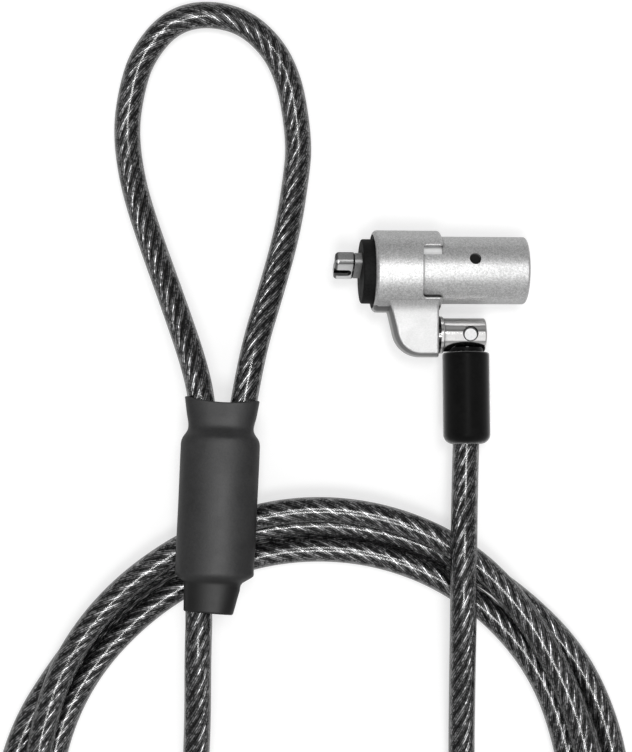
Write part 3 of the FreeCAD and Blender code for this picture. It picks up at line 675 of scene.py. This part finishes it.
# smoky clear jacket, thicker to look through at its rims
jacketLook = {
    "haze": (0.28, 0.92),
    "hazeFacing": (0.35, 0.80),
    "dark": grey(0.008),
    "light": (0.014, 0.014, 0.015),
    "rough": (0.12, 0.17),
    "waveScale": 160.0,
    "waveDepth": 0.00002,
}
jacketClear, tree, shader = newMaterial("jacketClear", IOR=1.6, Specular_IOR_Level=0.9)
facing = addNode(tree, "LayerWeight", {"Blend": 0.5}).outputs["Facing"]
tree.links.new(spread(tree, facing, *jacketLook["haze"], *jacketLook["hazeFacing"]), shader.inputs["Alpha"])
clouds = useGroup(tree, smudges, Scale=500.0)["Tone"]
smoke = blendColour(tree, clouds, jacketLook["dark"], jacketLook["light"])
tree.links.new(smoke, shader.inputs["Base Color"])
tree.links.new(spread(tree, clouds, *jacketLook["rough"]), shader.inputs["Roughness"])
waves = addNode(tree, "TexNoise", {"Vector": addNode(tree, "TexCoord").outputs["Object"],
                                   "Scale": jacketLook["waveScale"], "Detail": 0.0})
bumpInto(tree, shader, waves.outputs[0], jacketLook["waveDepth"])
jacket.data.materials.append(jacketClear)

wearers = {
    "castSilver": ["lock_body", "lock_barrel"],
    "innerSteel": ["core_housing"],
    "brightSteel": ["body_pin", "pin_springs", "stud_clip", "key_plug", "drive_pin", "thrust_washer",
                    "cable_terminal"],
    "polishedNickel": ["swivel_stud", "stud_washer"],
    "pinSteel": ["cross_pin"],
    "teeSteel": ["tee_bar"],
    "noseSteel": ["nose_plate"],
    "pinBrass": ["driver_pins", "key_pins"],
    "darkPin": ["barrel_pin"],
    "blackRubber": ["rubber_washer"],
    "bootBlack": ["terminal_boot"],
    "ferruleMetal": ["crimp_ferrule"],
    "dullRope": ["cable_rope_end"],
}
for finish, names in wearers.items():
    for name in names:
        for slot in nodes[name].material_slots:
            slot.material = finishes[finish]
shrinkSleeve.data.materials.append(finishes["sleeveGrey"])
print("materials made")

# floor, sky and lamps
studio = {
    "floorReach": 4.0,
    "floorDrop": 0.00005,
    "floorTone": 0.50,
    "floorLift": 0.55,      # what makes it white to the camera
    "floorSheen": 0.30,     # what the metal sees of that
    "skyAxis": (0.05, -0.17, 0.985),
    "skyBands": ((0.0, 0.20), (0.30, 0.24), (0.55, 0.30), (0.79, 0.12), (0.86, 0.84)),
    "skyStrength": 1.05,
    "nearLift": 0.20,       # more sky light from the coil's side
    "nearFrom": 0.2,
    "nearTo": 0.9,
    "lampPlaces": [(0.05, 0.15, 0.88), (-0.02, -0.25, 0.88)],
    "lampAim": (-0.02, -0.01, 0),
    "lampSize": 0.20,
    "lampWatts": 2.5,
}
floorMesh = bpy.data.meshes.new("floor")
reach = studio["floorReach"]
floorCorners = [(-reach, -reach, 0), (reach, -reach, 0), (reach, reach, 0), (-reach, reach, 0)]
floorMesh.from_pydata(floorCorners, [], [(0, 1, 2, 3)])
floor = bpy.data.objects.new("floor", floorMesh)
floor.location.z = -studio["floorDrop"]
bpy.context.scene.collection.objects.link(floor)
floorColour = grey(studio["floorTone"]) + (1,)
floorWhite, tree, shader = newMaterial("floorWhite", Base_Color=floorColour, Roughness=0.9,
                                       Specular_IOR_Level=0.0, Emission_Color=(1, 1, 1, 1))
rays = addNode(tree, "LightPath").outputs
seen = product(tree, rays["Is Camera Ray"], studio["floorLift"])
mirrored = product(tree, mathNode(tree, "ADD", rays["Is Glossy Ray"], rays["Is Transmission Ray"]),
                   studio["floorSheen"])
tree.links.new(mathNode(tree, "ADD", seen, mirrored), shader.inputs["Emission Strength"])
floorMesh.materials.append(floorWhite)

world = bpy.data.worlds.new("studio")
bpy.context.scene.world = world
world.use_nodes = True
tree = world.node_tree
sky = tree.nodes["Background"]
heading = addNode(tree, "TexCoord").outputs["Generated"]
bands = addNode(tree, "ValToRGB", {0: dotNode(tree, heading, studio["skyAxis"])})
ramp = bands.color_ramp
while len(ramp.elements) < len(studio["skyBands"]):
    ramp.elements.new(0.5)
for element, (position, level) in zip(ramp.elements, studio["skyBands"]):
    element.position = position
    element.color = grey(level) + (1,)
near = spread(tree, dotNode(tree, heading, (0, -1, 0)), 0, studio["nearLift"],
              studio["nearFrom"], studio["nearTo"])
tree.links.new(mathNode(tree, "ADD", bands.outputs[0], near), sky.inputs["Color"])
sky.inputs["Strength"].default_value = studio["skyStrength"]

light = bpy.data.lights.new("lamp", "AREA")
light.size = studio["lampSize"]
light.energy = studio["lampWatts"]
for place in studio["lampPlaces"]:
    lamp = bpy.data.objects.new("lamp", light)
    lamp.location = place
    aim = Vector(studio["lampAim"]) - lamp.location
    lamp.rotation_mode = "QUATERNION"
    lamp.rotation_quaternion = aim.to_track_quat("-Z", "Y")
    bpy.context.scene.collection.objects.link(lamp)
print("floor and light made")

bpy.context.view_layer.update()
